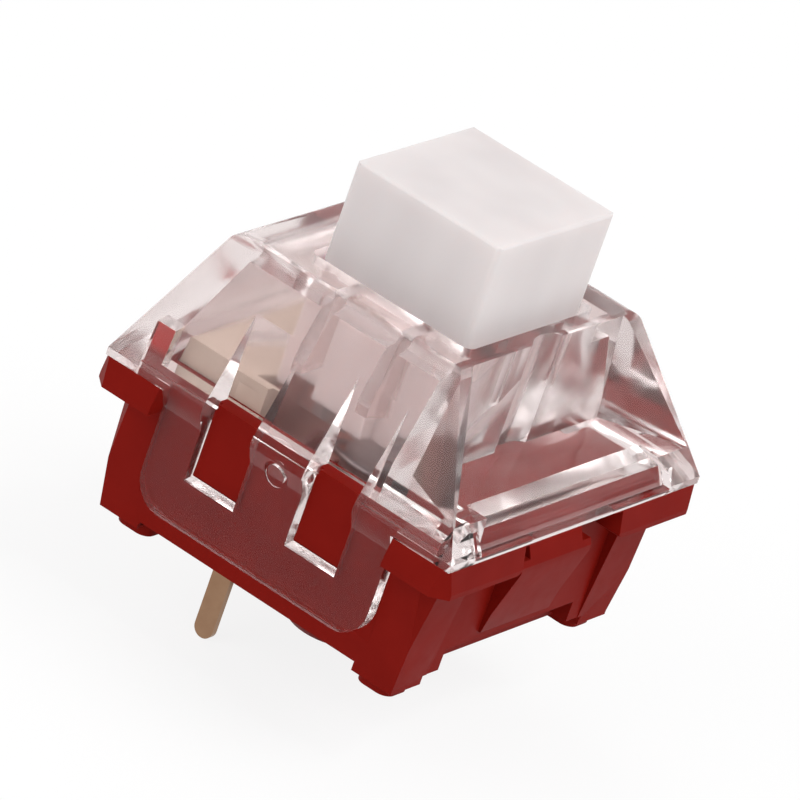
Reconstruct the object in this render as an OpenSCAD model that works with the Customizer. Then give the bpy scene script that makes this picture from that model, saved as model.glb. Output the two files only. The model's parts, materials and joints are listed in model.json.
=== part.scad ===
// Mechanical keyboard switch, plate mounted, with a clear cover and a closed stem block.
// The origin is on the centre post's axis, at the face of the circuit board.
// +Z is up, out of the stem. The lamp recess is on the -Y side, the contacts on the +Y side.

/* [Lower housing] */
// How far the flange stands out past the body, on each side
flange_out = 0.8; // [0.7:0.05:1.1]
// How far the joint line with the cover stands out past the body, on each side
rim_out = 0.61; // [0.45:0.01:0.7]
// How far each side of the body comes in from the flange to the underside
draft = 0.5; // [0.3:0.05:0.6]
// Height of the flange's underside above the circuit board
seat_z = 5; // [4.8:0.05:5.4]
// Thickness of the flange
flange_t = 1.07; // [0.9:0.01:1.3]
// Corner cut of the flange and of the cover, along each side
corner_cut = 0.55; // [0.3:0.05:0.8]
// Thickness of the side walls of the tray
tray_wall = 0.9; // [0.7:0.05:1.1]
// Height of the floor's underside above the circuit board
floor_z = 0.4; // [0.2:0.05:0.6]
// Thickness of the floor
floor_t = 0.9; // [0.7:0.05:1.1]
// Length of each corner foot, along each side
foot_l = 1.75; // [1.2:0.05:2.2]
// Height of the corner posts above the joint line
post_rise = 1.6; // [0.8:0.05:1.8]
// Side of the square corner posts
post_w = 0.7; // [0.5:0.05:0.75]
// Width of the plate clips
clip_w = 4.2; // [3.4:0.1:5]
// How far the plate clips stand out of the set-in wall
clip_out = 0.8; // [0.5:0.05:0.9]
// Depth to which the walls beside the clips are set in
wall_set_in = 0.45; // [0.3:0.05:0.6]
// Width of the corner columns beside those walls
column_w = 2.4; // [2:0.1:2.6]

/* [Centre post and hub] */
// Radius of the centre post below the floor
post_r = 1.95; // [1.8:0.01:2]
// Length of the centre post below the circuit board's face
post_l = 2.2; // [2:0.05:2.3]
// Radius of the bore that guides the stem's pole
bore_r = 1.35; // [1.2:0.01:1.45]
// Wall of the hub inside the tray, round that bore
hub_wall = 0.37; // [0.3:0.01:0.45]
// Height of the hub above the tray floor
hub_h = 2; // [1.4:0.1:2.6]

/* [Cover] */
// Width of the top face beside the opening, on the X sides
side_land = 1.62; // [1.4:0.02:1.8]
// Width of the top face between the opening and the lamp recess
front_land = 0.765; // [0.7:0.005:1]
// Width of the top face behind the opening
back_land = 2.065; // [1.9:0.005:2.3]
// Height of the upright band above the joint line
band_h = 0.28; // [0.15:0.01:0.4]
// Radius that rounds the edges of the top face
top_round = 0.5; // [0.3:0.05:0.7]
// Thickness of the top wall
roof_t = 1.05; // [0.9:0.05:1.2]
// Thickness of the side walls at the top
cover_wall = 0.85; // [0.7:0.05:1]
// Gap around the stem block in the opening of the cover
stem_gap = 0.33; // [0.25:0.01:0.45]

/* [Latch flaps] */
// Width of each flap
flap_w = 10.1; // [9.4:0.1:10.6]
// Thickness of each flap
flap_t = 0.5; // [0.4:0.05:0.6]
// Height of the flap's lower edge above the circuit board
flap_z = 1.6; // [1.4:0.05:2]
// Radius of the flap's lower corners
flap_r = 1.3; // [0.8:0.1:1.6]
// Width of each window
window_w = 2.2; // [1.8:0.05:2.4]
// Width of the strut between the windows
strut_w = 2.3; // [2:0.05:2.6]
// Height of the windows' lower edge above the circuit board
window_z = 3.45; // [3.2:0.05:3.8]
// Thickness of the cover's wall behind the slots above the windows
slot_skin = 0.32; // [0.25:0.01:0.45]
// How far the catches stand out of the tray wall
catch_out = 0.3; // [0.2:0.05:0.4]

/* [Lamp recess] */
// Width of the top face left on each side of the recess
lamp_side = 0.85; // [0.7:0.05:1.1]
// How much the recess widens on each side for each millimetre towards the front
lamp_flare = 0.62; // [0.5:0.01:0.7]
// How much the recess widens on each side for each millimetre down
lamp_slope = 0.18; // [0.12:0.01:0.22]
// Height of the recess floor above the joint line
bar_top = 1.25; // [1.2:0.05:1.4]
// Height of the red shelf under that floor, above the joint line
shelf_h = 0.55; // [0.45:0.05:0.6]
// Distance from each end of the shelf's front edge to the end of the wall behind it
shelf_end = 0.75; // [0.6:0.05:1.2]
// Depth of the step below the front edge of the recess floor
step_out = 1.5; // [1.4:0.05:1.6]
// Radius of the hollow in the back wall that clears the lamp
lamp_r = 1.5; // [1.2:0.1:1.7]

/* [Stem] */
// Width of the block along X
stem_w = 7; // [6.8:0.05:7.2]
// Width of the block along Y
stem_d = 6.35; // [6.1:0.05:6.4]
// How far the block still stands out of the cover when it is pressed
stem_left = 0.1; // [0.05:0.05:0.5]
// Radius of the block's upright edges
stem_edge = 0.25; // [0.2:0.05:0.5]
// Radius of the block's top edges
stem_top_edge = 0.14; // [0.1:0.02:0.3]
// Thickness of the block's walls
stem_wall = 0.85; // [0.7:0.05:0.9]
// Thickness of the block's top
stem_roof = 1.2; // [1:0.1:1.5]
// How far the stem travels when it is pressed
travel = 3.6; // [3.4:0.05:3.8]
// Room left between the pressed block and the tray floor
skirt_clear = 2.35; // [2.2:0.05:2.6]
// How far the block's skirt reaches down below the cover's top wall
skirt_l = 3.3; // [3:0.05:3.6]
// Radial gap between the pole and the bore of the hub
pole_gap = 0.07; // [0.05:0.01:0.1]
// Width of the side rails, along Y
rail_w = 2.2; // [1.8:0.1:2.6]
// How far the side rails stand out of the block
rail_out = 0.85; // [0.75:0.05:0.95]
// Depth of the push block's middle below the block's skirt
block_drop = 1.6; // [1.4:0.05:1.8]
// Width of the cam leg, along X
leg_w = 2.4; // [2:0.1:2.8]
// Slope of the cam face: push block movement for each millimetre of travel
cam_slope = 0.12; // [0.08:0.01:0.13]

/* [Return spring] */
// Radial gap between the coil and the hub
spring_gap = 0.17; // [0.12:0.01:0.2]
// Diameter of the wire
wire_d = 0.26; // [0.2:0.01:0.28]
// Number of turns
turns = 9; // [7:1:10]

/* [Contacts] */
// Gap between the stem block and the contact box
box_gap = 0.18; // [0.15:0.01:0.25]
// Height of the contact box with its cover, above the push block
box_over = 1.1; // [0.9:0.05:1.2]
// Thickness of the contact box's walls
box_wall = 0.38; // [0.3:0.02:0.45]
// Length of the terminal pins below the circuit board's face
pin_l = 3.3; // [3:0.05:3.6]
// Width of the terminal pins
pin_w = 0.8; // [0.7:0.05:0.9]
// Thickness of the terminals' sheet
sheet_t = 0.25; // [0.2:0.01:0.3]
// Room between the box's front wall and the leaf
leaf_room = 0.35; // [0.3:0.01:0.4]
// Thickness of the leaf
leaf_t = 0.1; // [0.08:0.01:0.15]
// Width of the leaf
leaf_w = 1.7; // [1.4:0.1:2]
// Radius of the contact points
contact_r = 0.42; // [0.3:0.02:0.5]

/* [Hidden] */
$fn = 48;

// Small clearances
fit = 0.05;
running = 0.02;
margin = 1;

// Heights of the tray
rim_z = seat_z + flange_t;
tray_floor = floor_z + floor_t;
lip_h = 0.25;
tray_top = rim_z + lip_h;
band_z = rim_z + band_h;

// Heights of the stem and the cover, from the tray floor upwards
skirt_z = tray_floor + skirt_clear + travel;
roof_z = skirt_z + skirt_l;
top_z = roof_z + roof_t;
stem_top = top_z + travel + stem_left;
shoulder_z = roof_z - 0.1;

// Stem block and its opening
sx = stem_w / 2;
sy = stem_d / 2;
open_x = sx + stem_gap;
open_y = sy + stem_gap;
top_x = open_x + side_land;
top_front = open_y + front_land;
top_back = open_y + back_land;

// Pole, hub and spring
pole_r = bore_r - pole_gap;
post_floor = 0.25;
bore_end = -post_l + post_floor;
pole_z = bore_end + travel + 0.1;
pole_tip = 0.3;
hub_r = bore_r + hub_wall;
coil_r = hub_r + spring_gap + wire_d / 2;
spring_low = tray_floor + running;
spring_high = roof_z;
pocket_r = coil_r + wire_d / 2 + 0.12;
core_r = pocket_r + 0.4;

// Push block, cam leg and leaf, from the skirt downwards
block_z = skirt_z - block_drop;
block_h = 1.1;
block_w = 1.7;
leg_z = block_z - block_h / 2 - fit;
leg_in = coil_r + wire_d / 2 + 0.07;
cam_top = block_z + block_h / 2 + travel + fit;
cam_y = sy - fit - cam_slope * (cam_top - block_z);
leaf_z0 = tray_floor + box_wall + 0.75;
leaf_z1 = block_z + block_h / 2 + 0.15;
strip_top = leaf_z0 - 0.08;

// Contacts, from the stem block backwards; the contact sits at a share of the leaf's length
contact_at = 0.683;
contact_z = leaf_z0 + contact_at * (block_z - leaf_z0);
contact_move = travel * cam_slope * contact_at;
contact_gap = 0.06;
point_h = 0.2;
plate_gap = 0.03;
plate_half = 0.7;
box_y0 = sy + box_gap;
leaf_y = box_y0 + box_wall + leaf_room;
static_y = leaf_y + leaf_t + point_h + contact_move + contact_gap + point_h;
box_y1 = static_y + sheet_t + plate_gap + box_wall;

// Half widths of the tray, round the contact box
tray_in = box_y1 + fit;
lip_x = tray_in + tray_wall;
pocket_x = lip_x + 0.12;
flap_gap = 0.12;
body_w = 2 * (lip_x + wall_set_in);
base_w = body_w - 2 * draft;
rim_w = body_w + 2 * rim_out;
flange_w = body_w + 2 * flange_out;
set_half = body_w / 2 - column_w;

// Rest of the contact box
box_x1 = tray_in - fit;
box_x0 = -box_x1;
box_z0 = tray_floor;
box_z1 = block_z + block_h / 2 + box_over;
lid_t = 0.35;

// Terminal pins, on the standard grid from the axis and set in from the box's end and back
pitch = 1.27;
static_pin = [box_x0 + 1.79, 2 * pitch];
moving_pin = [2 * pitch, box_y1 - 0.52];

// Inner wall of the cover and the slots above the windows
room_x = tray_in + 0.23;
slot_x = room_x + slot_skin;

// Lamp recess
lamp_x = top_x - lamp_side;
lamp_y = open_y + 0.7;
lamp_z = rim_z + bar_top;
shelf_z = rim_z + shelf_h;
shelf_half = lip_x - shelf_end;
shelf_back = shelf_half - 0.8;
edge_t = 0.55;
step_y = rim_w / 2 - step_out;

// Points of an arc in a plane, from angle a0 to a1 in steps of n
function arc(c, r, a0, a1, n = 5) =
    [for (i = [0:n]) c + r * [cos(a0 + (a1 - a0) * i / n), sin(a0 + (a1 - a0) * i / n)]];

// Outline in X and Z, run along Y
module along_y(points, length) {
    rotate([90, 0, 0])
        linear_extrude(length, center = true)
            polygon(points);
}

// Outline in Y and Z, run along X
module along_x(points, length) {
    rotate([90, 0, 90])
        linear_extrude(length, center = true)
            polygon(points);
}

// Box from its lowest to its highest corner
module block(low, high) {
    translate(low)
        cube(high - low);
}

// Square with its corners cut off
module cut_square(half, cut) {
    polygon([[-half + cut, -half], [half - cut, -half], [half, -half + cut], [half, half - cut],
             [half - cut, half], [-half + cut, half], [-half, half - cut], [-half, -half + cut]]);
}

// Rectangle with rounded corners
module round_rect(x, y, r) {
    square([2 * (x - r), 2 * y], center = true);
    square([2 * x, 2 * (y - r)], center = true);
    for (i = [-1, 1], j = [-1, 1])
        translate([i * (x - r), j * (y - r)])
            circle(r);
}

// One copy on each X side
module both_x() {
    children();
    mirror([1, 0, 0])
        children();
}

// One copy on each Y side
module both_y() {
    children();
    mirror([0, 1, 0])
        children();
}

// Lower housing

// Body with draft on all four sides
module tray_outside() {
    b = body_w / 2;
    a = base_w / 2;
    side = [[-a, 0], [a, 0], [b, seat_z], [b, seat_z + fit], [-b, seat_z + fit], [-b, seat_z]];
    intersection() {
        along_y(side, body_w + margin);
        along_x(side, body_w + margin);
        linear_extrude(seat_z + fit)
            cut_square(b, corner_cut);
    }
}

// Flange that rests on the plate, bevelled in to the joint line
module flange() {
    f = flange_w / 2;
    r = rim_w / 2;
    side = [[-f, seat_z], [f, seat_z], [f, seat_z + 0.2], [r, rim_z], [-r, rim_z], [-f, seat_z + 0.2]];
    intersection() {
        along_y(side, flange_w + margin);
        along_x(side, flange_w + margin);
        translate([0, 0, seat_z])
            linear_extrude(flange_t)
                cut_square(f, corner_cut);
    }
}

// Wedge that the lower edge of a flap window hooks under
module catch() {
    low = window_z + 0.06;
    x = pocket_x;
    for (j = [-1, 1])
        translate([0, j * (strut_w + window_w) / 2, 0])
            along_y([[x - fit, low], [x + catch_out, low + 0.1], [x + 0.12, tray_top],
                     [lip_x - fit, tray_top], [lip_x - fit, seat_z], [x - fit, seat_z]], window_w - 0.24);
}

// Plate clip: a tongue with a ramp below and a ledge above
module clip() {
    y = body_w / 2 - wall_set_in;
    along_x([[y - fit, 1.8], [y + 0.1, 1.8], [y + 0.25, 2.6], [y + clip_out, seat_z - 0.5],
             [y + clip_out, seat_z - 0.25], [y + 0.45, seat_z + 0.45], [y + 0.35, rim_z - 0.1],
             [y + 0.1, rim_z], [y - fit, rim_z]], clip_w);
}

// Foot under each corner: a block with a rounded pad below it, set in from the corner
module foot(pad_z, pad_in) {
    a = base_w / 2 + 0.05;
    mid = a - foot_l / 2 - pad_in;
    block([a - foot_l, a - foot_l, pad_z], [a, a, tray_floor]);
    translate([mid, mid, 0])
        linear_extrude(pad_z + fit)
            round_rect(foot_l / 2 - 0.15, foot_l / 2 - 0.15, 0.45);
}

module lower_housing() {
    b = body_w / 2;
    gap_half = clip_w / 2 + 0.35;
    wall_y = b - wall_set_in;
    color("firebrick")
        difference() {
            union() {
                difference() {
                    union() {
                        tray_outside();
                        flange();
                        // Lip that rises inside the cover
                        block([-lip_x, -lip_x, seat_z], [lip_x, lip_x, tray_top]);
                    }
                    // Inside of the tray
                    block([-tray_in, -tray_in, tray_floor], [tray_in, tray_in, tray_top + margin]);
                    // Pockets for the latch flaps
                    both_x()
                        block([pocket_x, -flap_w / 2 - flap_gap, floor_z],
                              [flange_w, flap_w / 2 + flap_gap, tray_top + margin]);
                    // Set-in walls between the corner columns
                    both_y()
                        block([-set_half, wall_y, -margin], [set_half, b + margin, seat_z]);
                    // Gaps in the flange beside the clips, wider below
                    both_y()
                        translate([0, wall_y - fit + b / 2, 0])
                            along_y([[-gap_half - 0.8, seat_z - fit], [gap_half + 0.8, seat_z - fit],
                                     [gap_half, seat_z + 0.45], [gap_half, rim_z + margin],
                                     [-gap_half, rim_z + margin], [-gap_half, seat_z + 0.45]], b);
                    // Underside between the feet
                    block([-base_w, -b + foot_l + 0.4, -margin], [base_w, b - foot_l - 0.4, floor_z + 0.3]);
                    block([-b + foot_l + 0.4, -base_w, -margin], [b - foot_l - 0.4, base_w, floor_z + 0.3]);
                    // Raised lower edges of the set-in walls
                    both_y()
                        block([-set_half + 0.7, tray_in - running, -margin],
                              [set_half - 0.7, b + margin, tray_floor + 0.2]);
                    // Corners under the floor, where only the feet reach down
                    block([-base_w, -base_w, -margin], [base_w, base_w, floor_z]);
                }
                // Floor
                block([-tray_in - fit, -tray_in - fit, floor_z], [tray_in + fit, tray_in + fit, tray_floor]);
                both_x() {
                    foot(0.6, 0.3);
                    mirror([0, 1, 0])
                        foot(0.35, 0.1);
                }
                both_x()
                    catch();
                both_y()
                    clip();
                // Posts that locate the cover in its back corners
                both_x()
                    block([lip_x - post_w, lip_x - post_w, seat_z], [lip_x, lip_x, rim_z + post_rise]);
                // Wall that closes the tray behind the lamp
                block([-lamp_x + 1, -lamp_y, floor_z], [lamp_x - 1, -lamp_y + 0.6, shelf_z]);
                // Shelf under the recess floor, with a wider front edge
                block([-shelf_back, -lip_x, seat_z], [shelf_back, -lamp_y + fit, shelf_z]);
                block([-shelf_half, -lip_x, seat_z], [shelf_half, -lip_x + edge_t, shelf_z]);
                // Ring under the floor, and the centre post
                cylinder(r = post_r + 0.7, h = tray_floor);
                translate([0, 0, -post_l])
                    cylinder(r1 = post_r - 0.3, r2 = post_r, h = 0.3);
                translate([0, 0, -post_l + 0.3])
                    cylinder(r = post_r, h = post_l + floor_z);
                // Hub that centres the spring
                cylinder(r = hub_r, h = tray_floor + hub_h);
            }
            // Bore for the stem's pole
            translate([0, 0, bore_end])
                cylinder(r = bore_r, h = tray_floor + hub_h + margin - bore_end);
            // Slots for the terminal pins
            for (p = [static_pin, moving_pin])
                block([p[0] - sheet_t / 2 - running, p[1] - pin_w / 2 - running, -margin],
                      [p[0] + sheet_t / 2 + running, p[1] + pin_w / 2 + running, tray_floor + margin]);
        }
}

// Cover

// Outer form: two outlines with round top edges, with the four upright corners cut
module cover_outside() {
    r = rim_w / 2;
    e = top_round;
    x_side = concat([[-r, rim_z], [r, rim_z], [r, band_z]],
                    arc([top_x - e * 0.72, top_z - e], e, 23, 90),
                    arc([-top_x + e * 0.72, top_z - e], e, 90, 157),
                    [[-r, band_z]]);
    y_side = concat([[-r, rim_z], [r, rim_z], [r, band_z]],
                    arc([top_back - e * 0.7, top_z - e], e, 22, 90),
                    arc([-top_front + e * 0.5, top_z - e], e, 90, 146),
                    [[-r, band_z]]);
    low = (rim_w - corner_cut) / sqrt(2);
    back = (top_x + top_back - 0.35) / sqrt(2);
    front = (top_x + top_front - 0.35) / sqrt(2);
    intersection() {
        along_y(x_side, rim_w + margin);
        along_x(y_side, rim_w + margin);
        for (a = [45, 135])
            rotate([0, 0, a])
                along_x([[-low, rim_z], [low, rim_z], [low, band_z], [back, top_z],
                         [-front, top_z], [-low, band_z]], 2 * rim_w);
    }
}

// Inside of the cover: lip pocket below, drafted room above
module cover_inside() {
    x_low = room_x;
    x_high = top_x - cover_wall + 0.15;
    y_high = top_back - cover_wall + 0.15;
    bend = rim_z + 1.5;
    block([-lip_x - fit, -lip_x - fit, rim_z - margin], [lip_x + fit, lip_x + fit, tray_top + fit]);
    intersection() {
        along_y([[-x_low, tray_top], [x_low, tray_top], [x_low, bend], [x_high, roof_z],
                 [-x_high, roof_z], [-x_low, bend]], rim_w);
        along_x([[-open_y, tray_top], [x_low, tray_top], [x_low, bend], [y_high, roof_z],
                 [-open_y, roof_z]], rim_w);
    }
    // Room over the shelf and the wall behind the lamp
    block([-shelf_back - fit, -lip_x - fit, rim_z], [shelf_back + fit, 0, shelf_z + fit]);
    block([-shelf_half - fit, -lip_x - fit, rim_z], [shelf_half + fit, -lip_x + edge_t + fit, shelf_z + fit]);
    // Pockets for the corner posts
    low = lip_x - post_w - fit;
    both_x()
        block([low, low, rim_z - margin], [lip_x + fit, lip_x + fit, rim_z + post_rise + fit]);
}

// Everything on the inner side of the recess's +X side, which leans out downwards and forwards
module recess_side() {
    tilt = atan(lamp_slope / norm([1, lamp_flare]));
    size = 4 * rim_w;
    translate([lamp_x + lamp_slope * (top_z - lamp_z), -lamp_y, lamp_z])
        rotate([0, -tilt, atan(lamp_flare)])
            block([-size, -size / 2, -size / 2], [0, size / 2, size / 2]);
}

// Recess for the lamp on the front, with a step below the front edge of its floor
module lamp_recess() {
    front = rim_w / 2 + margin;
    intersection() {
        block([-rim_w, -front, lamp_z], [rim_w, -lamp_y, top_z + margin]);
        recess_side();
        mirror([1, 0, 0])
            recess_side();
    }
    // Step: a chamfer, a steep band in front of the red shelf, and a ledge above the joint line
    intersection() {
        along_x([[-step_y, lamp_z + margin], [-step_y, lamp_z], [-step_y - 0.75, shelf_z + 0.1],
                 [-step_y - 1, rim_z + 0.2], [-front, rim_z + 0.14], [-front, lamp_z + margin]], rim_w);
        along_y([[-shelf_half, rim_z], [shelf_half, rim_z], [shelf_half, shelf_z + 0.1],
                 [shelf_half - 0.6, lamp_z], [shelf_half - 0.6, lamp_z + margin],
                 [-shelf_half + 0.6, lamp_z + margin], [-shelf_half + 0.6, lamp_z],
                 [-shelf_half, shelf_z + 0.1]], rim_w + 2 * margin);
    }
    // Hollow that clears the lamp
    translate([0, -lamp_y - lamp_r + 0.35, lamp_z])
        cylinder(r = lamp_r, h = top_z);
}

// Latch flap with its two windows, on the +X side
module flap() {
    x0 = pocket_x + fit;
    x1 = x0 + flap_t;
    half = flap_w / 2;
    difference() {
        intersection() {
            along_y([[x0, flap_z], [x1 - 0.08, flap_z], [x1, flap_z + 0.12], [x1, seat_z + 0.35],
                     [rim_w / 2, rim_z], [rim_w / 2, rim_z + fit], [x0, rim_z + fit]], flap_w);
            // Face with rounded lower corners
            rotate([90, 0, 90])
                linear_extrude(rim_w) {
                    translate([0, (flap_z + rim_z + margin) / 2 + flap_r / 2])
                        square([flap_w, rim_z + margin - flap_z - flap_r], center = true);
                    translate([0, flap_z + flap_r])
                        square([flap_w - 2 * flap_r, 2 * flap_r], center = true);
                    for (j = [-1, 1])
                        translate([j * (half - flap_r), flap_z + flap_r])
                            circle(flap_r);
                }
        }
        window_cuts();
    }
}

// Windows that run on upwards as slots in the sloping wall
module window_cuts() {
    for (j = [-1, 1])
        translate([0, j * (strut_w + window_w) / 2, 0]) {
            block([slot_x, -window_w / 2, window_z], [rim_w, window_w / 2, top_z]);
            along_y([[pocket_x, window_z], [rim_w / 2, window_z - 0.15], [rim_w / 2, window_z + 0.1],
                     [pocket_x, window_z + 0.1]], window_w);
        }
}

module upper_housing() {
    color([0.86, 0.87, 0.88, 0.45])
        difference() {
            union() {
                difference() {
                    cover_outside();
                    cover_inside();
                    both_x()
                        window_cuts();
                    lamp_recess();
                    // Opening for the stem block
                    translate([0, 0, rim_z])
                        linear_extrude(top_z)
                            round_rect(open_x, open_y, 0.35);
                }
                // Guide ribs in the opening
                for (i = [-1, 1], y = [-2.45, 2.45])
                    block([i * open_x - 0.17, y - 0.3, roof_z], [i * open_x + 0.17, y + 0.3, top_z - 0.25]);
                for (x = [-1.7, 1.7])
                    block([x - 0.3, -open_y - 0.1, roof_z - 1.4], [x + 0.3, -open_y + 0.17, top_z - 0.25]);
                // Guides beside the stem's side rails
                both_x() both_y()
                    intersection() {
                        cover_outside();
                        block([sx + 0.15, rail_w / 2 + 0.08, roof_z - 2.2],
                              [top_x, rail_w / 2 + 0.58, roof_z + fit]);
                    }
                both_x()
                    flap();
            }
            // Shallow ring left by the ejector on each strut
            both_x()
                translate([pocket_x + fit + flap_t - 0.06, 0, seat_z + 0.55])
                    rotate([0, 90, 0])
                        difference() {
                            cylinder(r = 0.5, h = margin);
                            cylinder(r = 0.36, h = 3 * margin, center = true);
                        }
        }
}

// Stem

module stem_outside() {
    e = stem_top_edge;
    z0 = skirt_z;
    x_side = concat([[-sx, z0], [sx, z0]], arc([sx - e, stem_top - e], e, 0, 90, 4),
                    arc([-sx + e, stem_top - e], e, 90, 180, 4));
    y_side = concat([[-sy, z0], [sy, z0]], arc([sy - e, stem_top - e], e, 0, 90, 4),
                    arc([-sy + e, stem_top - e], e, 90, 180, 4));
    intersection() {
        along_y(x_side, stem_d + margin);
        along_x(y_side, stem_w + margin);
        translate([0, 0, z0])
            linear_extrude(stem_top - z0)
                round_rect(sx, sy, stem_edge);
    }
}

module stem() {
    core_top = stem_top - stem_roof;
    color("ghostwhite")
        difference() {
            union() {
                difference() {
                    stem_outside();
                    translate([0, 0, skirt_z - margin])
                        linear_extrude(core_top - skirt_z + margin)
                            round_rect(sx - stem_wall, sy - stem_wall, stem_edge);
                }
                // Core that holds the spring and carries the pole
                translate([0, 0, skirt_z])
                    cylinder(r = core_r, h = core_top - skirt_z + fit);
                // Side rails, whose tops stop under the cover
                both_x()
                    block([sx - stem_wall / 2, -rail_w / 2, skirt_z], [sx + rail_out, rail_w / 2, shoulder_z]);
                // Cam leg that hangs below the block
                block([-leg_w / 2, leg_in, leg_z], [leg_w / 2, sy - fit, cam_top]);
            }
            // Sloping face that the push block follows
            along_x([[cam_y + cam_slope * (leg_z - margin - block_z), leg_z - margin],
                     [cam_y + cam_slope * (cam_top - block_z), cam_top],
                     [sy + margin, cam_top], [sy + margin, leg_z - margin]], leg_w + 2 * fit);
            // Room for the spring
            translate([0, 0, skirt_z - margin])
                cylinder(r = pocket_r, h = spring_high + running - skirt_z + margin);
        }
    color("ghostwhite") {
        translate([0, 0, pole_z + pole_tip])
            cylinder(r = pole_r, h = spring_high + pole_tip - pole_z);
        translate([0, 0, pole_z])
            cylinder(r1 = pole_r - pole_tip, r2 = pole_r, h = pole_tip);
    }
}

// Return spring

steps = 20;
sides = 8;
rings = turns * steps;
spring_l = spring_high - spring_low;
lead = wire_d * 1.02;

// Height of the wire's middle after a number of turns, closed at both ends
function coil_z(t) =
    spring_low + wire_d / 2 +
    (t < 1 ? lead * t :
     t > turns - 1 ? spring_l - wire_d - lead * (turns - t) :
     lead + (t - 1) * (spring_l - wire_d - 2 * lead) / (turns - 2));

module return_spring() {
    points = [for (i = [0:rings], j = [0:sides - 1])
        let (a = 360 * i / steps, b = 360 * j / sides, r = coil_r + wire_d / 2 * cos(b))
            [r * cos(a), r * sin(a), coil_z(i / steps) + wire_d / 2 * sin(b)]];
    faces = concat(
        [for (i = [0:rings - 1], j = [0:sides - 1])
            [i * sides + j, i * sides + (j + 1) % sides, (i + 1) * sides + (j + 1) % sides, (i + 1) * sides + j]],
        [[for (j = [0:sides - 1]) sides - 1 - j]],
        [[for (j = [0:sides - 1]) rings * sides + j]]);
    color("silver")
        polyhedron(points, [for (f = faces) [for (k = [len(f) - 1:-1:0]) f[k]]]);
}

// Contact box

module contact_box() {
    w = box_wall;
    color("beige")
        difference() {
            block([box_x0, box_y0, box_z0], [box_x1, box_y1, box_z1 - lid_t]);
            block([box_x0 + w, box_y0 + w, box_z0 + w], [box_x1 - w, box_y1 - w, box_z1]);
            // Window that guides the push block
            block([-block_w / 2 - fit, box_y0 - margin, block_z - block_h / 2 - fit],
                  [block_w / 2 + fit, box_y0 + w + fit, block_z + block_h / 2 + fit]);
            // Way in for the foot of the fixed terminal
            block([static_pin[0] - sheet_t / 2 - running, box_y0 - margin, box_z0 - margin],
                  [static_pin[0] + sheet_t / 2 + running, box_y1 - w, box_z0 + w + 0.7]);
            // Slot for the pin of the moving terminal
            block([moving_pin[0] - sheet_t / 2 - running, moving_pin[1] - pin_w / 2 - running, box_z0 - margin],
                  [moving_pin[0] + sheet_t / 2 + running, moving_pin[1] + pin_w / 2 + running, strip_top + running]);
        }
}

module contact_box_cover() {
    w = box_wall + fit;
    color("beige") {
        block([box_x0, box_y0, box_z1 - lid_t], [box_x1, box_y1, box_z1]);
        block([box_x0 + w, box_y0 + w, box_z1 - lid_t - 0.25], [box_x1 - w, box_y1 - w, box_z1 - lid_t + fit]);
    }
}

module push_block() {
    h = block_h / 2;
    y0 = cam_y + running;
    nose_y = leaf_y - running;
    color("dimgray") {
        // Follower face has the slope of the cam
        along_x([[y0 - cam_slope * h, block_z - h], [box_y0 + box_wall + 0.1, block_z - h],
                 [nose_y - 0.12, block_z - 0.2], [nose_y, block_z - 0.08],
                 [nose_y, block_z + 0.08], [nose_y - 0.12, block_z + 0.2],
                 [box_y0 + box_wall + 0.1, block_z + h], [y0 + cam_slope * h, block_z + h]], block_w);
    }
}

// Fixed terminal: pin, foot under the box wall, upright and plate behind the contacts
module static_terminal() {
    x = static_pin[0];
    y = static_pin[1];
    up_y = static_y + sheet_t;
    foot_z = box_z0 + box_wall;
    color("goldenrod") {
        rotate([90, 0, 90])
            translate([0, 0, x - sheet_t / 2])
                linear_extrude(sheet_t) {
                    translate([y - pin_w / 2, -pin_l + pin_w / 2])
                        square([pin_w, foot_z + 0.65 + pin_l - pin_w / 2]);
                    translate([y, -pin_l + pin_w / 2])
                        circle(pin_w / 2);
                    translate([y, tray_floor + running])
                        square([up_y - y, foot_z + 0.65 - tray_floor - running]);
                    translate([up_y - pin_w, foot_z])
                        square([pin_w, contact_z + plate_half - foot_z]);
                }
        block([x - sheet_t / 2, static_y, contact_z - plate_half],
              [contact_r + 0.3, up_y, contact_z + plate_half]);
    }
}

module static_contact_point() {
    color("gold")
        translate([0, static_y, contact_z])
            rotate([90, 0, 0])
                cylinder(r1 = contact_r, r2 = contact_r - 0.1, h = point_h);
}

// Moving terminal: pin, foot and the strip that carries the leaf
module moving_terminal() {
    x = moving_pin[0];
    y = moving_pin[1];
    foot_z = box_z0 + box_wall + running;
    mid = leaf_y + leaf_t / 2;
    color("goldenrod") {
        rotate([90, 0, 90])
            translate([0, 0, x - sheet_t / 2])
                linear_extrude(sheet_t) {
                    translate([y - pin_w / 2, -pin_l + pin_w / 2])
                        square([pin_w, strip_top + pin_l - pin_w / 2]);
                    translate([y, -pin_l + pin_w / 2])
                        circle(pin_w / 2);
                    translate([mid - sheet_t / 2, foot_z])
                        square([y - mid, strip_top - foot_z]);
                }
        block([-leaf_w / 2, mid - sheet_t / 2, foot_z], [x, mid + sheet_t / 2, strip_top]);
    }
}

module moving_leaf() {
    color("darkgoldenrod")
        difference() {
            block([-leaf_w / 2, leaf_y, leaf_z0 - 0.05], [leaf_w / 2, leaf_y + leaf_t, leaf_z1]);
            // Slot that makes the leaf supple
            block([-0.25, leaf_y - margin, leaf_z0 + 0.5], [0.25, leaf_y + margin, contact_z - contact_r - 0.2]);
        }
}

module moving_contact_point() {
    color("gold")
        translate([0, leaf_y + leaf_t, contact_z])
            rotate([-90, 0, 0])
                cylinder(r1 = contact_r, r2 = contact_r - 0.1, h = point_h);
}

upper_housing();
lower_housing();
stem();
return_spring();
contact_box();
contact_box_cover();
push_block();
static_terminal();
static_contact_point();
moving_terminal();
moving_leaf();
moving_contact_point();
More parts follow.
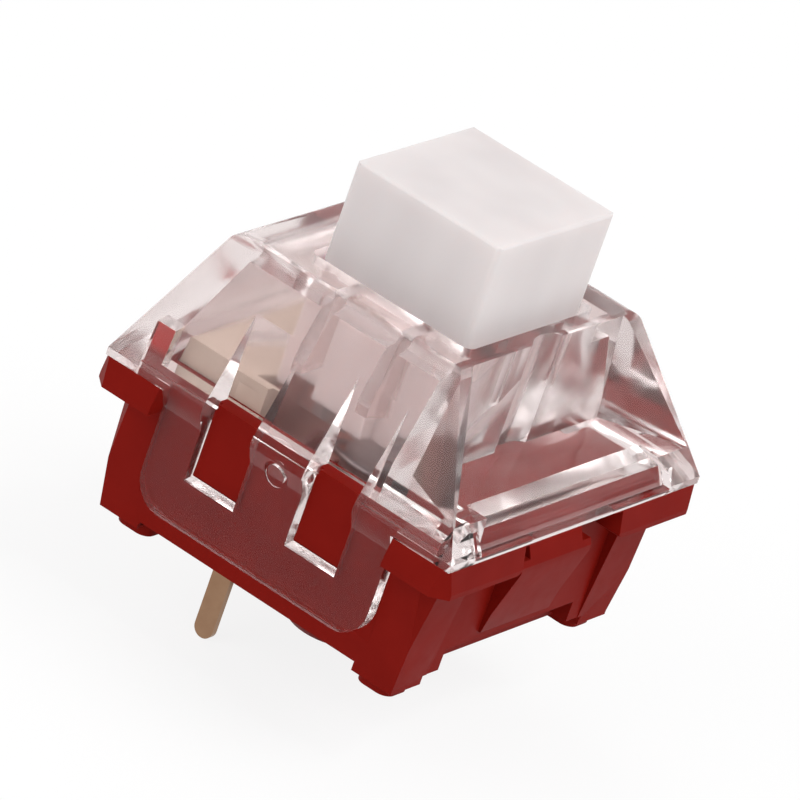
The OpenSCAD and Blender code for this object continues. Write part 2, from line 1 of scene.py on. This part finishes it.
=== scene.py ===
"""Looks of the mechanical keyboard switch: clear cover, red tray, frosted stem block and brass pins."""
import json
import math

import bmesh
import bpy
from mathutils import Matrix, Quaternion, Vector


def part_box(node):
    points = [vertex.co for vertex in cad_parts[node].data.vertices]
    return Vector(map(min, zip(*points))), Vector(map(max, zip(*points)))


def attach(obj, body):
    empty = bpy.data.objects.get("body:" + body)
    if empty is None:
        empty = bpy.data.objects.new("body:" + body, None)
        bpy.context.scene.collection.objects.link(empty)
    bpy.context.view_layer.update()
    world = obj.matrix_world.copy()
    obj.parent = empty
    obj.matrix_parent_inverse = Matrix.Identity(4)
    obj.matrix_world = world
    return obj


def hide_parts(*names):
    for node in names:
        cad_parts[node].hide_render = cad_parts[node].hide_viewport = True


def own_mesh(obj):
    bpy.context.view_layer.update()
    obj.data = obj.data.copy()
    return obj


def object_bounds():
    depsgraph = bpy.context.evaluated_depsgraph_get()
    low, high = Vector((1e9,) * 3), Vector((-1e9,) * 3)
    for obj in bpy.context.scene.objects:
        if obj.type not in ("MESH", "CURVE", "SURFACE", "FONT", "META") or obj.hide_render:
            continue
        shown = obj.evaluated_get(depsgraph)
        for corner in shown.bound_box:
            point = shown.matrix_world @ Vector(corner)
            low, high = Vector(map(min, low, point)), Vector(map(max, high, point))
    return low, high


MM = 0.001
# Lowest place that a colour ramp covers and how far it reaches, in millimetres
RAMP_LOW = -6
RAMP_SPAN = 20

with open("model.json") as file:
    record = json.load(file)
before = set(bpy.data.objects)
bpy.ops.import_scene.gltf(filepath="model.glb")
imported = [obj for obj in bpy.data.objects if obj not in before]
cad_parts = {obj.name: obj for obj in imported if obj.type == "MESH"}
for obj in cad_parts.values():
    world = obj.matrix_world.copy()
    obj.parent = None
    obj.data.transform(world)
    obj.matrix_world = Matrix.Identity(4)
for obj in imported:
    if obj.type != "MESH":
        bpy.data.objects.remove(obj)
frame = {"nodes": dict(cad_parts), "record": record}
cad_box = [list(corner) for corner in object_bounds()]


# Shader maths


def put(tree, socket, value):
    """Links a value that has a socket, or writes a plain one onto the socket."""
    if hasattr(value, "socket"):
        tree.links.new(value.socket, socket)
    else:
        socket.default_value = value


class Term:
    """A number from a node, which adds a Math node for each operator used on it."""

    def __init__(self, tree, socket):
        self.tree = tree
        self.socket = socket

    def math(self, operation, *others, first=None):
        node = self.tree.nodes.new("ShaderNodeMath")
        node.operation = operation
        values = (self, *others) if first is None else (first, self, *others)
        for socket, value in zip(node.inputs, values):
            put(self.tree, socket, value)
        return Term(self.tree, node.outputs[0])

    def __add__(self, other):
        return self.math("ADD", other)

    def __radd__(self, other):
        return self.math("ADD", other)

    def __sub__(self, other):
        return self.math("SUBTRACT", other)

    def __rsub__(self, other):
        return self.math("SUBTRACT", first=other)

    def __mul__(self, other):
        return self.math("MULTIPLY", other)

    def __rmul__(self, other):
        return self.math("MULTIPLY", other)

    def __truediv__(self, other):
        return self.math("DIVIDE", other)

    def __rtruediv__(self, other):
        return self.math("DIVIDE", first=other)


class Finish:
    """One material, or the world, whose nodes all come from the method node()."""

    def __init__(self, name, world=None):
        self.owner = world or bpy.data.materials.new(name)
        self.owner.use_nodes = True
        self.tree = self.owner.node_tree
        self.tree.nodes.clear()

    def node(self, kind, settings=(), values=()):
        node = self.tree.nodes.new(kind)
        for name, value in dict(settings).items():
            if name == "stops":
                ramp = node.color_ramp
                while len(ramp.elements) < len(value):
                    ramp.elements.new(0.5)
                for element, (place, colour) in zip(ramp.elements, value):
                    element.position = place
                    element.color = colour
            else:
                setattr(node, name, value)
        for name, value in dict(values).items():
            put(self.tree, node.inputs[name], value)
        return node

    def term(self, node, output=0):
        return Term(self.tree, node.outputs[output])

    def place(self):
        """X, Y and Z on the piece, in millimetres."""
        coordinates = self.node("ShaderNodeTexCoord")
        parts = self.node("ShaderNodeSeparateXYZ", values={0: self.term(coordinates, "Object")})
        return [self.term(parts, axis) / MM for axis in range(3)]

    def noise(self, size, detail=2.0, stretch=(1, 1, 1)):
        """Noise from 0 to 1 with lumps of about that size, in millimetres."""
        coordinates = self.node("ShaderNodeTexCoord")
        turned = self.node("ShaderNodeMapping",
                           values={"Vector": self.term(coordinates, "Object"), "Scale": stretch})
        return self.term(self.node("ShaderNodeTexNoise", values={
            "Vector": self.term(turned), "Scale": 1 / (size * MM), "Detail": detail}))

    def blend(self, share, low, high):
        """A colour that goes from low to high with share."""
        return self.term(self.node("ShaderNodeMix", {"data_type": "RGBA"}, {0: share, 6: low, 7: high}), 2)

    def fade(self, value, ends):
        """A number that goes from 0 to 1 while the value, in millimetres, goes from one end to the other."""
        stops = [((end - RAMP_LOW) / RAMP_SPAN, (level, level, level, 1)) for level, end in enumerate(ends)]
        share = (value - RAMP_LOW) / RAMP_SPAN
        return self.term(self.node("ShaderNodeValToRGB", {"stops": stops}, {"Fac": share}))

    def bump(self, height, depth):
        """A normal from a height of 0 to 1 that stands for that depth, in millimetres."""
        return self.term(self.node("ShaderNodeBump", values={
            "Height": height, "Distance": depth * MM, "Strength": 1.0}))

    def mix(self, share, first, second):
        """A shader that goes from the first to the second with share."""
        node = self.node("ShaderNodeMixShader", values={0: share})
        self.tree.links.new(first.outputs[0], node.inputs[1])
        self.tree.links.new(second.outputs[0], node.inputs[2])
        return node

    def pass_lamps(self, shader, colour):
        """That shader, with lamp light let through in part, tinted by the colour."""
        rays = self.node("ShaderNodeLightPath")
        clear = self.node("ShaderNodeBsdfTransparent", values={"Color": colour})
        return self.mix(self.term(rays, "Is Shadow Ray"), shader, clear)

    def coat(self, shader):
        """Ends the material in that shader."""
        output = self.node("ShaderNodeOutputMaterial")
        self.tree.links.new(shader.outputs[0], output.inputs["Surface"])
        return self.owner


# Where the painted light on the back posts, the haze and the painted bounce light on the contact box begin and
# end, or where they stop, in millimetres
POST_LIGHT_FADE = (6.55, 6.9)
POST_LIGHT_FRONT = 5.75
HAZE_FADE = (6.4, 7.8)
BOUNCE_LIGHT_FADE = (-4.7, -4.0)
BOUNCE_LIGHT_BACK = 3.6
BOUNCE_LIGHT_TOP = 6.9
# Turns of a light path through the clear plastic, after which it ends in the haze
LONGEST_PATH = 15.5


def red_nylon():
    """Dyed nylon with a satin face; the tips of the back posts are painted lighter, as painted light that
    enters them.
    """
    f = Finish("red_nylon")
    cloud = f.noise(1.8, 3)
    grain = f.noise(0.4, 2)
    _, y, z = f.place()
    # Painted light: the tips of the back posts, high up and at the back, are painted a lighter red
    post_light = f.fade(z, POST_LIGHT_FADE) * y.math("GREATER_THAN", POST_LIGHT_FRONT)
    body = f.blend(cloud, (0.165, 0.0055, 0.0032, 1), (0.215, 0.0080, 0.0046, 1))
    shader = f.node("ShaderNodeBsdfPrincipled", values={
        "Base Color": f.blend(post_light, body, (0.50, 0.055, 0.05, 1)),
        "Roughness": 0.36 + 0.16 * f.noise(0.6),
        "Specular IOR Level": 0.03,
        "Normal": f.bump(grain, 0.0012)})
    return f.coat(shader)


def clear_polycarbonate():
    """Clear polycarbonate, hazier above the flaps, which lamps shine through."""
    f = Finish("clear_polycarbonate")
    waves = f.noise(3.5, 1)
    upper = f.fade(f.place()[2], HAZE_FADE)
    glass = f.node("ShaderNodeBsdfPrincipled", values={
        "Base Color": (0.86, 0.775, 0.765, 1),
        "Roughness": 0.05 + 0.04 * f.noise(0.9) + 0.07 * upper,
        "IOR": 1.5,
        "Specular Tint": (0.22, 0.22, 0.22, 1),
        "Transmission Weight": 1.0,
        "Normal": f.bump(waves, 0.004)})
    haze = f.node("ShaderNodeBsdfPrincipled", values={
        "Base Color": (0.68, 0.57, 0.555, 1),
        "Roughness": 0.3,
        "Specular IOR Level": 0.1})
    # Long light paths end in the haze, so that the deepest reflections don't turn black
    rays = f.node("ShaderNodeLightPath")
    deep = f.term(rays, "Ray Depth").math("GREATER_THAN", LONGEST_PATH)
    milk = 0.003 + (0.004 + 0.06 * upper) * waves
    body = f.mix(milk.math("MAXIMUM", deep), glass, haze)
    return f.coat(f.pass_lamps(body, (0.97, 0.95, 0.95, 1)))


def frosted_stem():
    """Frosted white block that lets light in, and much of the lamps' light through."""
    f = Finish("frosted_stem")
    # Painted shade: lighter and darker vertical bands, where the stem's inner walls show through the frosted
    # plastic
    core_shade_bands = f.noise(2.2, 1, stretch=(1, 1, 0.12))
    shader = f.node("ShaderNodeBsdfPrincipled", values={
        "Base Color": f.blend(core_shade_bands, (0.62, 0.570, 0.570, 1), (0.74, 0.69, 0.685, 1)),
        "Roughness": 0.42 + 0.1 * f.noise(0.4),
        "Specular IOR Level": 0.3,
        "Subsurface Weight": 0.5,
        "Subsurface Radius": (1.0, 0.8, 0.75),
        "Subsurface Scale": 1.2 * MM,
        "Normal": f.bump(f.noise(0.08, 3), 0.002)})
    return f.coat(f.pass_lamps(shader, (0.80, 0.74, 0.73, 1)))


def ivory_plastic():
    """Plain moulded plastic of the contact box, with painted light on the wall in the stem's shade: lighter and
    redder, standing in for the light that the red tray bounces onto it.
    """
    f = Finish("ivory_plastic")
    cloud = f.noise(1.5)
    x, y, z = f.place()
    # Painted light: the low -Y wall beside the stem is painted lighter and redder, as if lit by the red tray
    glow = f.fade(x, BOUNCE_LIGHT_FADE) * y.math("LESS_THAN", BOUNCE_LIGHT_BACK) * z.math("LESS_THAN", BOUNCE_LIGHT_TOP)
    body = f.blend(cloud, (0.54, 0.48, 0.40, 1), (0.62, 0.56, 0.48, 1))
    shader = f.node("ShaderNodeBsdfPrincipled", values={
        "Base Color": f.blend(glow, body, (0.88, 0.52, 0.46, 1)),
        "Roughness": 0.45 + 0.1 * f.noise(0.4),
        "Normal": f.bump(f.noise(0.07), 0.003)})
    return f.coat(shader)


def metal(name, dark, light, rough, stretch=(1, 1, 1)):
    """Sheet or wire of one metal, with fine drawn lines."""
    f = Finish(name)
    lines = f.noise(0.08, 2, stretch=stretch)
    shader = f.node("ShaderNodeBsdfPrincipled", values={
        "Base Color": f.blend(f.noise(0.7), dark, light),
        "Metallic": 1.0,
        "Roughness": rough + 0.12 * lines,
        "Normal": f.bump(lines, 0.002)})
    return f.coat(shader)


FINISHES = {
    "clear_polycarbonate": clear_polycarbonate(),
    "red_nylon": red_nylon(),
    "frosted_stem": frosted_stem(),
    "ivory_plastic": ivory_plastic(),
    "spring_steel": metal("spring_steel", (0.55, 0.55, 0.57, 1), (0.68, 0.68, 0.70, 1), 0.25),
    "terminal_brass": metal("terminal_brass", (0.27, 0.15, 0.09, 1), (0.37, 0.23, 0.14, 1), 0.3, (1, 1, 0.1)),
    "leaf_bronze": metal("leaf_bronze", (0.60, 0.38, 0.20, 1), (0.70, 0.47, 0.27, 1), 0.25, (0.1, 1, 1)),
    "gold_contact": metal("gold_contact", (0.85, 0.62, 0.25, 1), (0.92, 0.70, 0.32, 1), 0.2),
}
BODY_OF = {node: body for body, nodes in frame["record"]["behaviour"]["bodies"].items() for node in nodes}
SLOT_OF = {part["node"]: part["material_slot"] for part in frame["record"]["subparts"]}


# Pieces


def smooth_below(mesh, degrees):
    """Smooth shading, with the edges that are sharper than that left sharp."""
    mesh.shade_smooth()
    mesh.set_sharp_from_angle(angle=math.radians(degrees))


def prism(outline, half):
    """Mesh of an outline in Y and Z, in millimetres, that runs to half on both X sides."""
    count = len(outline)
    mesh = bpy.data.meshes.new("prism")
    points = [(side * half * MM, y * MM, z * MM) for side in (-1, 1) for y, z in outline]
    sides = [(k, (k + 1) % count, count + (k + 1) % count, count + k) for k in range(count)]
    mesh.from_pydata(points, [], [tuple(range(count - 1, -1, -1)), tuple(range(count, 2 * count)), *sides])
    solid = bmesh.new()
    solid.from_mesh(mesh)
    bmesh.ops.recalc_face_normals(solid, faces=solid.faces)
    solid.to_mesh(mesh)
    solid.free()
    return mesh


def brick(low, high):
    """Mesh of a box from its lowest to its highest corner, in millimetres."""
    mesh = bpy.data.meshes.new("brick")
    solid = bmesh.new()
    size = [b - a for a, b in zip(low, high)]
    middle = [(a + b) / 2 for a, b in zip(low, high)]
    bmesh.ops.create_cube(solid, size=1.0)
    for vertex in solid.verts:
        vertex.co = [MM * (m + d * c) for m, d, c in zip(middle, size, vertex.co)]
    solid.to_mesh(mesh)
    solid.free()
    return mesh


def carve(mesh, steps):
    """The mesh after each step, which adds a tool's shape or takes it away."""
    work = bpy.data.objects.new("work", mesh)
    bpy.context.scene.collection.objects.link(work)
    tools = []
    for operation, shape in steps:
        tool = bpy.data.objects.new("tool", shape)
        bpy.context.scene.collection.objects.link(tool)
        cut = work.modifiers.new("cut", "BOOLEAN")
        cut.operation = operation
        cut.solver = "EXACT"
        cut.object = tool
        tools.append(tool)
    done = bpy.data.meshes.new_from_object(work.evaluated_get(bpy.context.evaluated_depsgraph_get()))
    for extra in (work, *tools):
        bpy.data.objects.remove(extra)
    return done


# Step under the recess's front edge, in Y and Z: the clear bar's outside, the red edge and the room for it
BAR = [(-6.11, 7.32), (-6.95, 6.84), (-7.33, 6.22), (-7.33, 6.07), (-6.61, 6.07), (-6.61, 6.85), (-6.3, 7.1)]
EDGE = [(-6.4, 5.9), (-7.12, 5.9), (-7.12, 6.1), (-6.8, 6.72), (-6.4, 6.78)]
EDGE_ROOM = [(-6.4, 6.0), (-7.16, 6.0), (-7.16, 6.11), (-6.83, 6.76), (-6.4, 6.82)]
# Half of their lengths in X
BAR_HALF, EDGE_HALF, ROOM_HALF = 5.81, 5.8, 5.84


# Wing of the contact box along the -X wall, read from the photograph: reach, floor, lid's seam and top
WING_X = (-5.6, -4.55)
WING_Y = (2.2, 3.4)
WING_FLOOR, WING_SEAM, WING_TOP = 1.3, 6.95, 7.3
# Gap in the flange at each end of a clip: from and to, outwards from the middle in X and Y, and in Z
GAP_X, GAP_Y, GAP_Z = (1.6, 2.97), (6.6, 8.0), (4.97, 6.02)


def wing(low, high):
    """Step that adds the contact box's wing between two heights."""
    return "UNION", brick((WING_X[0], WING_Y[0], low), (WING_X[1], WING_Y[1], high))


def clip_gaps():
    """Steps that part the flange from the two clips, at both of their ends."""
    steps = []
    for side_x in (-1, 1):
        for side_y in (-1, 1):
            reach_x = sorted(side_x * x for x in GAP_X)
            reach_y = sorted(side_y * y for y in GAP_Y)
            low, high = zip(reach_x, reach_y, GAP_Z)
            steps.append(("DIFFERENCE", brick(low, high)))
    return steps


def dress(node, name, edge, steps=()):
    """A copy of a CAD node's mesh with its edges rounded, which stands for the node."""
    mesh = frame["nodes"][node].data.copy()
    solid = bmesh.new()
    solid.from_mesh(mesh)
    bmesh.ops.remove_doubles(solid, verts=solid.verts, dist=0.0005 * MM)
    bmesh.ops.dissolve_limit(solid, angle_limit=math.radians(0.5), verts=solid.verts, edges=solid.edges)
    solid.to_mesh(mesh)
    solid.free()
    if steps:
        mesh = carve(mesh, steps)
    mesh.name = name
    piece = bpy.data.objects.new(name, mesh)
    bpy.context.scene.collection.objects.link(piece)
    mesh.materials.clear()
    mesh.materials.append(FINISHES[SLOT_OF[node]])
    smooth_below(mesh, 25)
    bevel = piece.modifiers.new("edges", "BEVEL")
    bevel.width = edge * MM
    bevel.segments = 2
    bevel.limit_method = "ANGLE"
    bevel.angle_limit = math.radians(35)
    bevel.harden_normals = True
    bevel.use_clamp_overlap = True
    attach(piece, BODY_OF[node])
    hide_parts(node)


def inputs_of(tree, sizes):
    """Gives a geometry tree one named input for each size, and hands back their values as numbers."""
    for name, value in sizes.items():
        socket = tree.interface.new_socket(name=name, in_out="INPUT", socket_type="NodeSocketFloat")
        socket.default_value = value
    group = tree.nodes.new("NodeGroupInput")
    return {name: Term(tree, group.outputs[name]) for name in sizes}


def geometry_node(tree, kind, settings=(), values=()):
    """A geometry node with its settings and inputs."""
    node = tree.nodes.new(kind)
    for name, value in dict(settings).items():
        setattr(node, name, value)
    for name, value in dict(values).items():
        put(tree, node.inputs[name], value)
    return node


def coil_tree(finish, sizes):
    """Wire wound round the hub, with a closed turn at each end and open turns between them."""
    tree = bpy.data.node_groups.new("coil", "GeometryNodeTree")
    tree.interface.new_socket(name="Coil", in_out="OUTPUT", socket_type="NodeSocketGeometry")
    size = inputs_of(tree, sizes)
    path = geometry_node(tree, "GeometryNodeCurveSpiral", values={
        "Resolution": 56, "Rotations": size["Turns"], "Start Radius": size["Coil radius"],
        "End Radius": size["Coil radius"], "Height": 0.0})
    share = geometry_node(tree, "GeometryNodeSplineParameter")
    turn = Term(tree, share.outputs["Factor"]) * size["Turns"]
    closed = size["Wire"] * 1.02
    open_turns = size["Turns"] - 2.0
    open_lead = (size["Length"] - size["Wire"] - 2.0 * closed) / open_turns
    last = turn - 1.0 - open_turns
    height = (size["Low end"] + size["Wire"] / 2.0
              + closed * (turn.math("MINIMUM", 1.0) + last.math("MAXIMUM", 0.0))
              + open_lead * (turn - 1.0).math("MAXIMUM", 0.0).math("MINIMUM", open_turns))
    rise = geometry_node(tree, "ShaderNodeCombineXYZ", values={"Z": height})
    wound = geometry_node(tree, "GeometryNodeSetPosition", values={
        "Geometry": Term(tree, path.outputs[0]), "Offset": Term(tree, rise.outputs[0])})
    wire = geometry_node(tree, "GeometryNodeCurvePrimitiveCircle", values={
        "Resolution": 14, "Radius": size["Wire"] / 2.0})
    drawn = geometry_node(tree, "GeometryNodeCurveToMesh", values={
        "Curve": Term(tree, wound.outputs[0]), "Profile Curve": Term(tree, wire.outputs[0]), "Fill Caps": True})
    real = geometry_node(tree, "GeometryNodeRealizeInstances", values={
        "Geometry": Term(tree, drawn.outputs[0])})
    painted = geometry_node(tree, "GeometryNodeSetMaterial", values={
        "Geometry": Term(tree, real.outputs[0]), "Material": finish})
    end = tree.nodes.new("NodeGroupOutput")
    tree.links.new(painted.outputs[0], end.inputs[0])
    return tree


WIRE = 0.26 * MM
TURNS = 9.0


def wind_spring():
    """The return spring, wound from wire, which stands for the CAD spring."""
    low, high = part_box("return_spring")
    sizes = {"Turns": TURNS, "Coil radius": high[0] - WIRE / 2, "Wire": WIRE,
             "Low end": low[2], "Length": high[2] - low[2]}
    seed = bpy.data.objects.new("coil_seed", bpy.data.meshes.new("coil_seed"))
    bpy.context.scene.collection.objects.link(seed)
    winder = seed.modifiers.new("coil", "NODES")
    winder.node_group = coil_tree(FINISHES["spring_steel"], sizes)
    seen = seed.evaluated_get(bpy.context.evaluated_depsgraph_get())
    mesh = bpy.data.meshes.new_from_object(seen)
    bpy.data.objects.remove(seed)
    mesh.name = "coil_spring"
    mesh.shade_smooth()
    piece = bpy.data.objects.new("coil_spring", mesh)
    bpy.context.scene.collection.objects.link(piece)
    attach(piece, "housing")
    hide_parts("return_spring")
    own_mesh(piece)


def paint_nodes():
    """Gives each CAD node that stays the finish of its slot."""
    for node, piece in frame["nodes"].items():
        piece.data.materials.clear()
        piece.data.materials.append(FINISHES[SLOT_OF[node]])


# Stage


def bearing(azimuth, elevation):
    """Direction from the switch, turned from the front and raised by angles in radians."""
    return Vector((math.sin(azimuth) * math.cos(elevation), -math.cos(azimuth) * math.cos(elevation),
                   math.sin(elevation)))


def make_camera():
    """Camera at the photograph's viewing angle, about 310 mm away and rolled."""
    azimuth, elevation, roll = (math.radians(a) for a in (-61.840, 24.861, 19.632))
    target = Vector((-0.269, 0.258, 6.751)) * MM
    back = bearing(azimuth, elevation)
    lens = bpy.data.cameras.new("camera")
    lens.sensor_width = 36
    lens.lens = 406.617
    lens.clip_start = 1 * MM
    lens.clip_end = 10
    camera = bpy.data.objects.new("camera", lens)
    camera.rotation_mode = "QUATERNION"
    camera.location = target + back * 309.541 * MM
    camera.rotation_quaternion = (-back).to_track_quat("-Z", "Y") @ Quaternion((0, 0, 1), roll)
    bpy.context.scene.collection.objects.link(camera)
    bpy.context.scene.camera = camera


def make_lamp(name, azimuth, elevation, distance, size, power):
    """Square soft box that faces the switch, from a bearing in degrees and a distance in millimetres."""
    back = bearing(math.radians(azimuth), math.radians(elevation))
    light = bpy.data.lights.new(name, "AREA")
    light.size = size * MM
    light.energy = power
    lamp = bpy.data.objects.new(name, light)
    lamp.location = back * distance * MM + Vector((0, 0, 6 * MM))
    lamp.rotation_mode = "QUATERNION"
    lamp.rotation_quaternion = (-back).to_track_quat("-Z", "Y")
    bpy.context.scene.collection.objects.link(lamp)


def seen_directly(f):
    """1 for rays from the camera, from a reflection or through glass, and 0 for the rest."""
    rays = f.node("ShaderNodeLightPath")
    camera, glossy, through = (f.term(rays, f"Is {kind} Ray") for kind in ("Camera", "Glossy", "Transmission"))
    return camera.math("MAXIMUM", glossy).math("MAXIMUM", through)


def make_stage():
    """White floor under the pins, which keeps a faint shadow, and a white world."""
    floor_half = 400 * MM
    low = cad_box[0][2]
    mesh = bpy.data.meshes.new("floor")
    corners = [(-floor_half, -floor_half, low), (floor_half, -floor_half, low),
               (floor_half, floor_half, low), (-floor_half, floor_half, low)]
    mesh.from_pydata(corners, [], [(0, 1, 2, 3)])
    floor = bpy.data.objects.new("floor", mesh)
    bpy.context.scene.collection.objects.link(floor)
    f = Finish("floor")
    matt = f.node("ShaderNodeBsdfDiffuse", values={"Color": (0.9, 0.9, 0.9, 1)})
    glow = f.node("ShaderNodeEmission", values={"Color": (1, 1, 1, 1), "Strength": 1.0})
    mesh.materials.append(f.coat(f.mix(0.85 * seen_directly(f), matt, glow)))

    world = bpy.data.worlds.new("studio")
    bpy.context.scene.world = world
    w = Finish("studio", world)
    sky = w.node("ShaderNodeBackground", values={
        "Color": (1, 1, 1, 1), "Strength": 0.55 + 0.45 * seen_directly(w)})
    end = w.node("ShaderNodeOutputWorld")
    w.tree.links.new(sky.outputs[0], end.inputs["Surface"])


make_camera()
make_stage()
make_lamp("key", 20, 50, 400, 260, 0.75)
make_lamp("left", -110, 30, 450, 300, 0.65)
make_lamp("back", 150, 45, 450, 260, 0.3)
make_lamp("spark", -20, 62, 420, 36, 0.12)

paint_nodes()
dress("upper_housing", "clear_cover", 0.06,
      steps=[("UNION", prism(BAR, BAR_HALF)), ("DIFFERENCE", prism(EDGE_ROOM, ROOM_HALF))])
dress("lower_housing", "red_tray", 0.05, steps=[("UNION", prism(EDGE, EDGE_HALF)), *clip_gaps()])
dress("contact_box", "contact_housing", 0.04, steps=[wing(WING_FLOOR, WING_SEAM)])
dress("contact_box_cover", "contact_lid", 0.04, steps=[wing(WING_SEAM, WING_TOP)])
dress("stem", "stem_block", 0.04)
wind_spring()

bpy.context.scene.view_settings.view_transform = "Standard"
# Light that is caught in the clear walls needs many reflections before it leaves them
bpy.context.scene.cycles.max_bounces = 24
bpy.context.scene.cycles.glossy_bounces = 20
bpy.context.scene.cycles.transmission_bounces = 20
